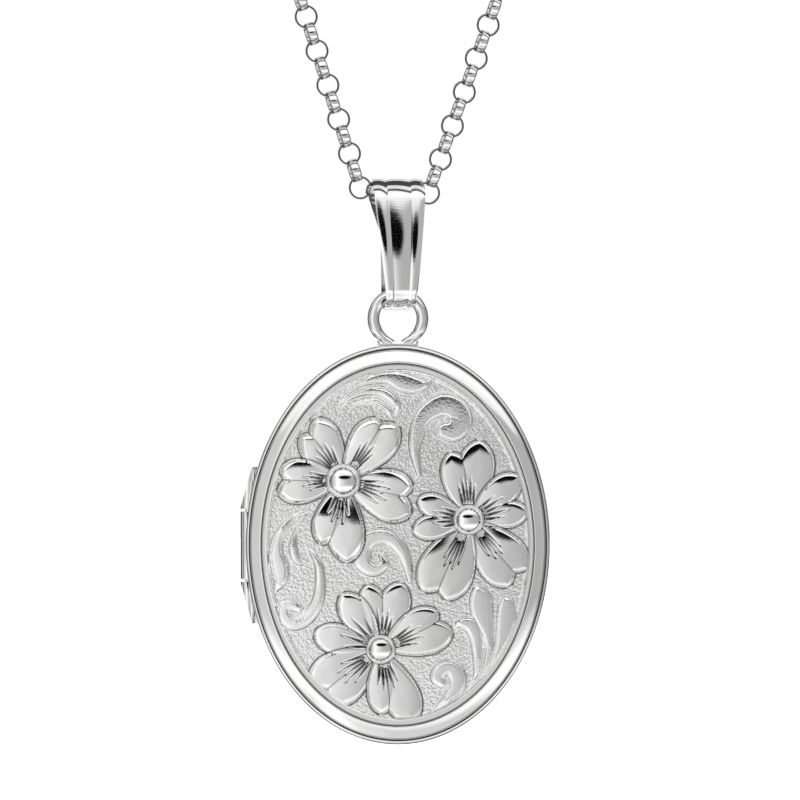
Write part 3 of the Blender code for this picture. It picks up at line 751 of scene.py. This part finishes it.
def tube(path, radii, sides=28):
    """(points, faces) of a round wire along a path, with flat ends."""
    path = np.asarray(path)
    along = np.gradient(path, axis=0)
    along /= np.linalg.norm(along, axis=1)[:, None]
    depth = np.array((0.0, 1.0, 0.0))
    side = np.cross(along, depth)
    angles = np.linspace(0, 2 * math.pi, sides, endpoint=False)
    offset = side[:, None] * np.cos(angles)[None, :, None] + depth * np.sin(angles)[None, :, None]
    points = (path[:, None] + offset * np.asarray(radii)[:, None, None]).reshape(-1, 3)
    faces = grid_faces(len(path), sides, False, True)
    last = (len(path) - 1) * sides
    faces.append(tuple(range(sides)))
    faces.append(tuple(range(last, last + sides)))
    return points, faces


LOOP_END = -38.0  # where the loop's circle turns into its neck
LOOP_FOOT = ((0.90, 13.55), (0.56, 13.33), (0.34, 13.16), (0.20, 12.98))
LOOP_FOOT_WIRE = 0.285  # radius of the wire where it stands on the pad


def build_loop(silver):
    low, high = box_mm("hanging_loop")
    y = (low[1] + high[1]) / 2
    wire = (high[1] - low[1]) / 2
    radius = (high[0] - low[0]) / 2 - wire
    centre = high[2] - wire - radius
    floor = low[2]
    angles = np.radians(np.linspace(90, LOOP_END, 40))
    arc = np.stack([radius * np.cos(angles), centre + radius * np.sin(angles)], axis=1)
    curve = smooth_path(np.vstack([arc[::3], LOOP_FOOT]), 130)
    right = np.stack([curve[:, 0], np.full(len(curve), y), curve[:, 1]], axis=1)
    right = right[right[:, 2] > floor - 0.05]
    fall = smooth_step(14.2 - right[:, 2], 0.0, 0.8)
    radii = wire + (LOOP_FOOT_WIRE - wire) * fall
    mirror = np.array((-1, 1, 1))
    path = np.vstack([(right * mirror)[::-1], right[1:]])
    points, faces = tube(path, np.concatenate([radii[::-1], radii[1:]]))
    points[:, 2] = np.maximum(points[:, 2], floor)
    make_piece("loop_wire", make_mesh("loop_wire", points, faces, 50.0), silver, ["hanging_loop"])


# Bail

BAIL_FOOT_RADIUS = 0.70
BAIL_FOLD_RADIUS = 1.08
BAIL_SHEET = 0.20
BAIL_FLUTE = 0.08
BAIL_BELLY = 0.05  # how far up the front leg its swell is greatest
BAIL_SWELL = 1.22
BAIL_FOOT_SWELL = 1.10
BAIL_BOW_POWER = 1.75
BAIL_FOOT_WIDTH = 0.92  # half widths
BAIL_WIDENING = 0.79
BAIL_BACK_WIDTH = 0.90
BAIL_BACK_TAPER = 0.2245
FLUTE_EDGE = 0.47
BAIL_ACROSS = 61  # points across each face of the strap


def bail_half_width(z, front, foot_z, fold_z):
    share = np.clip((z - foot_z + BAIL_FOOT_RADIUS) / (fold_z + BAIL_FOLD_RADIUS - foot_z), 0, 1)
    wide = BAIL_FOOT_WIDTH + BAIL_WIDENING * share ** 0.9
    narrow = np.maximum(BAIL_BACK_WIDTH, wide - BAIL_BACK_TAPER * (fold_z - z))
    return np.where(front | (z > fold_z), wide, np.minimum(wide, narrow))


def bail_stations(foot_z, fold_z):
    """Points round the strap's side view, with the outward direction at each."""
    lean = math.asin((BAIL_FOLD_RADIUS - BAIL_FOOT_RADIUS) / (fold_z - foot_z))
    parts = []

    def arc(z, radius, start, stop, count):
        angle = np.linspace(start, stop, count)
        out = np.stack([np.cos(angle), np.sin(angle)], axis=1)
        parts.append(np.hstack([radius * out + (0, z), out]))

    def leg(angle, from_z, from_radius, to_z, to_radius):
        out = np.array((math.cos(angle), math.sin(angle)))
        start = from_radius * out + (0, from_z)
        stop = to_radius * out + (0, to_z)
        share = np.linspace(0, 1, 42)[1:-1, None]
        parts.append(np.hstack([start + (stop - start) * share, np.tile(out, (40, 1))]))

    arc(fold_z, BAIL_FOLD_RADIUS, -lean, math.pi + lean, 48)
    leg(math.pi + lean, fold_z, BAIL_FOLD_RADIUS, foot_z, BAIL_FOOT_RADIUS)
    arc(foot_z, BAIL_FOOT_RADIUS, math.pi + lean, 2 * math.pi - lean, 36)
    leg(-lean, foot_z, BAIL_FOOT_RADIUS, fold_z, BAIL_FOLD_RADIUS)
    return np.vstack(parts)


def bowed(stations, foot_z, fold_z):
    """Swells the front leg and turns its outward directions to suit."""
    top = fold_z + 0.75 * BAIL_FOLD_RADIUS
    share = np.clip((stations[:, 1] - foot_z) / (top - foot_z), 0, 1)
    rising = BAIL_FOOT_SWELL + (BAIL_SWELL - BAIL_FOOT_SWELL) * share / BAIL_BELLY
    above = np.clip((share - BAIL_BELLY) / (1 - BAIL_BELLY), 0, 1)
    swell = np.where(share < BAIL_BELLY, rising, BAIL_SWELL * (1 - above ** BAIL_BOW_POWER))
    result = stations.copy()
    result[:, 0] -= swell * np.clip(-stations[:, 0] / BAIL_FOOT_RADIUS, 0, 1)
    along = np.roll(result[:, :2], -1, axis=0) - np.roll(result[:, :2], 1, axis=0)
    along /= np.linalg.norm(along, axis=1)[:, None]
    result[:, 2], result[:, 3] = along[:, 1], -along[:, 0]
    return result


def flute_height(share):
    edges = np.array((-1.0, -FLUTE_EDGE, FLUTE_EDGE, 1.0))
    cell = np.clip(np.searchsorted(edges, share) - 1, 0, 2)
    middle = (edges[cell] + edges[cell + 1]) / 2
    half = (edges[cell + 1] - edges[cell]) / 2
    return BAIL_FLUTE * (1 - ((share - middle) / half) ** 2)


def build_bail(silver):
    pivot, fold = joint_point("bail_swing"), joint_point("chain_swing")
    sideways = joint_axis("bail_swing")
    inwards = np.cross((0, 0, 1), sideways)
    stations = bowed(bail_stations(pivot[2], fold[2]), pivot[2], fold[2])
    share = np.linspace(-1, 1, BAIL_ACROSS)
    share = np.sign(share) * np.abs(share) ** 0.98
    thick = BAIL_SHEET - BAIL_FLUTE + flute_height(share)
    rings = []
    for v, z, out_v, out_z in stations:
        half = float(bail_half_width(z, v < 0, pivot[2], fold[2]))
        outer = np.stack([half * share, v + out_v * thick, z + out_z * thick], axis=1)
        inner = np.stack([half * share[::-1], np.full(BAIL_ACROSS, v), np.full(BAIL_ACROSS, z)], axis=1)
        rings.append(np.vstack([outer, inner]))
    local = np.array(rings).reshape(-1, 3)
    base = np.array((pivot[0], pivot[1], 0.0))
    points = base + local[:, :1] * sideways + local[:, 1:2] * inwards + local[:, 2:] * (0, 0, 1)
    faces = grid_faces(len(stations), 2 * BAIL_ACROSS, True, True)
    make_piece("fluted_bail", make_mesh("fluted_bail", points, faces, 40.0), silver, ["bail"])


# Chain

LINK_RADIUS = 0.70
LINK_BAND = 0.30  # half the band's width
LINK_SHEET = 0.080  # half its thickness, thin enough to clear the next link
LINK_STEPS = 72
LINK_SECTION_STEPS = 24
# How dark the painted shade is along the two edges of a link's band
LINK_EDGE_SHADE_TONE = 0.9


def link_mesh(silver):
    """A round link about its own Z axis: a band with softly crowned faces."""
    turn = np.linspace(0, 2 * math.pi, LINK_STEPS, endpoint=False)
    angle = np.linspace(0, 2 * math.pi, LINK_SECTION_STEPS, endpoint=False)
    cos, sin = np.cos(angle), np.sin(angle)
    r = LINK_RADIUS + LINK_SHEET * np.sign(cos) * np.abs(cos) ** 0.85
    h = LINK_BAND * np.sign(sin) * np.abs(sin) ** 0.8
    points = np.stack([
        r[None, :] * np.cos(turn)[:, None], r[None, :] * np.sin(turn)[:, None],
        np.broadcast_to(h[None, :], (LINK_STEPS, LINK_SECTION_STEPS)),
    ], axis=-1).reshape(-1, 3)
    faces = grid_faces(LINK_STEPS, LINK_SECTION_STEPS, True, True)
    mesh = make_mesh("rolo_link", points, faces, 60.0)
    # Painted shade: the band's edges are darkened in colour
    edge_shade = LINK_EDGE_SHADE_TONE * smooth_step(np.abs(sin), 0.55, 0.95)
    set_attribute(mesh, "painted_shade", np.tile(edge_shade, LINK_STEPS))
    mesh.materials.append(silver)
    return mesh


def link_axis(node, spare):
    """The direction a link's ring turns about: its joint's axis, or the spare for a link without its own."""
    for joint in JOINTS.values():
        if joint["child"] == BODY_OF[node] and node != "chain_link_middle" and "under" not in node:
            return np.array(joint["axis"])
    return spare


def build_chain(silver):
    mesh = link_mesh(silver)
    sideways = joint_axis("chain_swing")
    inwards = np.cross((0, 0, 1), sideways)
    centres = {n: sum(box_mm(n)) / 2 for n in BODY_OF if n.startswith("chain_link")}
    for node, centre in centres.items():
        spare = inwards
        if "under" in node:
            side = node.rsplit("_", 1)[1]
            run = centres[f"chain_link_{side}_01"] - centres["chain_link_middle"]
            spare = np.cross(inwards, run)
        axis = Vector(link_axis(node, spare)).normalized()
        place = Matrix.Translation(Vector(centre * MM)) @ axis.to_track_quat("Z", "Y").to_matrix().to_4x4()
        make_piece(node.replace("chain_link", "link"), mesh, silver, [node], place)


# Stage


FLOOR_Z = -0.045  # metres, as is the floor's half size
FLOOR_SIZE = 3.0


def build_stage():
    mesh = bpy.data.meshes.new("floor")
    sides = ((-1, -1), (1, -1), (1, 1), (-1, 1))
    corners = [(FLOOR_SIZE * x, FLOOR_SIZE * y, FLOOR_Z) for x, y in sides]
    mesh.from_pydata(corners, [], [(0, 1, 2, 3)])
    floor = bpy.data.objects.new("floor", mesh)
    bpy.context.scene.collection.objects.link(floor)
    material = bpy.data.materials.new("floor_look")
    nodes = Nodes(material)
    nodes.shader.inputs["Base Color"].default_value = (0.93, 0.93, 0.93, 1.0)
    nodes.shader.inputs["Roughness"].default_value = 0.9
    nodes.shader.inputs["Emission Color"].default_value = (1.0, 1.0, 1.0, 1.0)
    nodes.shader.inputs["Emission Strength"].default_value = 0.6
    mesh.materials.append(material)
    floor.visible_glossy = False  # the tent's own lower half is what the silver mirrors


BRIGHTEST = 1.3
# Brightness of the tent against the sideways and the upward part of a direction, and its dark opening
TENT_SIDES = (
    (-1.0, 0.62), (-0.62, 0.64), (-0.52, 1.0), (-0.38, 1.15), (-0.26, 0.86), (-0.12, 0.77), (0.0, 0.65),
    (0.14, 0.53), (0.35, 0.46), (0.80, 0.45), (1.0, 0.55),
)
TENT_HEIGHT = (
    (-1.0, 0.7), (-0.66, 0.66), (-0.54, 1.05), (-0.40, 1.15), (-0.22, 0.55), (-0.18, 0.0), (0.35, 0.0),
    (0.41, 0.90), (0.62, 1.1), (0.82, 1.1), (0.95, 1.0), (1.0, 0.9),
)
DARK_CARD = ((0.02, 0.27), (0.40, 0.12))
# Brightness against the depth part of a direction: dark seams, which draw the outline of round pieces
TENT_DEPTH = (
    (-1.0, 1.0), (-0.42, 1.0), (-0.33, 0.08), (-0.22, 0.08), (-0.12, 0.9), (0.12, 0.9), (0.2, 0.06),
    (0.62, 0.06), (0.78, 0.9), (1.0, 1.0),
)


def build_world():
    """A white tent that is greyer to the right and has a dark opening above the camera."""
    world = bpy.data.worlds.new("studio")
    bpy.context.scene.world = world
    world.use_nodes = True
    tree = world.node_tree
    tree.nodes.clear()

    def add(kind, **values):
        return add_node(tree, kind, **values)

    def math_node(operation, first, second=0.0, clamp=False):
        node = add("ShaderNodeMath", operation=operation, use_clamp=clamp)
        for socket, value in zip(node.inputs, (first, second)):
            if isinstance(value, (int, float)):
                socket.default_value = value
            else:
                tree.links.new(value, socket)
        return node.outputs["Value"]

    def ramp(source, *stops):
        """A curve through (from, to) stops of a -1 to 1 direction component, up to the brightest value."""
        node = add("ShaderNodeValToRGB")
        elements = node.color_ramp.elements
        elements.remove(elements[1])
        elements[0].position = 0.0
        for position, value in stops:
            element = elements.new(position / 2 + 0.5)
            element.color = (value / BRIGHTEST,) * 3 + (1.0,)
        elements.remove(elements[0])
        half = math_node("MULTIPLY_ADD", source, 0.5)
        half.node.inputs[2].default_value = 0.5
        tree.links.new(half, node.inputs["Fac"])
        return math_node("MULTIPLY", node.outputs["Color"], BRIGHTEST)

    def blob(x, z, centre, size):
        """0 inside an ellipse of direction and 1 outside it, with a soft edge."""
        across = math_node("DIVIDE", math_node("SUBTRACT", x, centre[0]), size[0])
        up = math_node("DIVIDE", math_node("SUBTRACT", z, centre[1]), size[1])
        span = math_node("ADD", math_node("MULTIPLY", across, across), math_node("MULTIPLY", up, up))
        return math_node("MULTIPLY", math_node("SUBTRACT", span, 0.7), 1.6, True)

    coordinate = add("ShaderNodeTexCoord")
    split = add("ShaderNodeSeparateXYZ")
    tree.links.new(coordinate.outputs["Generated"], split.inputs["Vector"])
    x, y, z = split.outputs["X"], split.outputs["Y"], split.outputs["Z"]
    sides = ramp(x, *TENT_SIDES)
    lift = ramp(z, *TENT_HEIGHT)
    glow = math_node("MAXIMUM", sides, lift)
    glow = math_node("MULTIPLY", glow, blob(x, z, *DARK_CARD))
    glow = math_node("MULTIPLY", glow, ramp(y, *TENT_DEPTH))
    tent = add("ShaderNodeBackground", Color=(1.0, 1.0, 1.0, 1.0))
    tree.links.new(glow, tent.inputs["Strength"])
    plain = add("ShaderNodeBackground", Color=(1.0, 1.0, 1.0, 1.0), Strength=1.0)
    path = add("ShaderNodeLightPath")
    choose = add("ShaderNodeMixShader")
    tree.links.new(path.outputs["Is Glossy Ray"], choose.inputs["Fac"])
    tree.links.new(plain.outputs["Background"], choose.inputs[1])
    tree.links.new(tent.outputs["Background"], choose.inputs[2])
    output = add("ShaderNodeOutputWorld")
    tree.links.new(choose.outputs["Shader"], output.inputs["Surface"])


FRAME_MM = 52.48  # what the picture spans at the locket
VIEW_CENTRE = (0.144, 9.51)
VIEW_DISTANCE = 600.0
SENSOR_WIDTH = 36.0


def build_camera():
    camera = bpy.data.cameras.new("camera")
    camera.sensor_width = SENSOR_WIDTH
    camera.lens = SENSOR_WIDTH * VIEW_DISTANCE / FRAME_MM
    camera.clip_end = 20.0
    camera.clip_start = 0.01
    obj = bpy.data.objects.new("camera", camera)
    obj.location = Vector((VIEW_CENTRE[0], -VIEW_DISTANCE - PANEL_TOP, VIEW_CENTRE[1])) * MM
    obj.rotation_euler = (math.pi / 2, 0.0, 0.0)
    bpy.context.scene.collection.objects.link(obj)
    bpy.context.scene.camera = obj


def main():
    silver = polished_silver()
    build_covers(silver)
    build_panel(embossed_silver())
    build_lip(silver)
    build_bezels(silver)
    for name in ("upper", "centre", "lower"):
        refined(f"knuckle_{name}", f"hinge_knuckle_{name}", silver, 0.04)
    refined("pivot_pin", "hinge_pin", silver, 0.03)
    refined("pad_saddle", "loop_pad", silver, 0.03)
    build_loop(silver)
    build_bail(silver)
    build_chain(silver)
    paper, acetate = picture_paper(), clear_acetate()
    for side in ("back", "front"):
        for kind, material in (("card", paper), ("window", acetate)):
            node = frame["nodes"][f"{side}_photo_{kind}"]
            node.data.materials.clear()
            node.data.materials.append(material)
    build_stage()
    build_world()
    build_camera()
    bpy.context.scene.view_settings.view_transform = "Standard"


main()
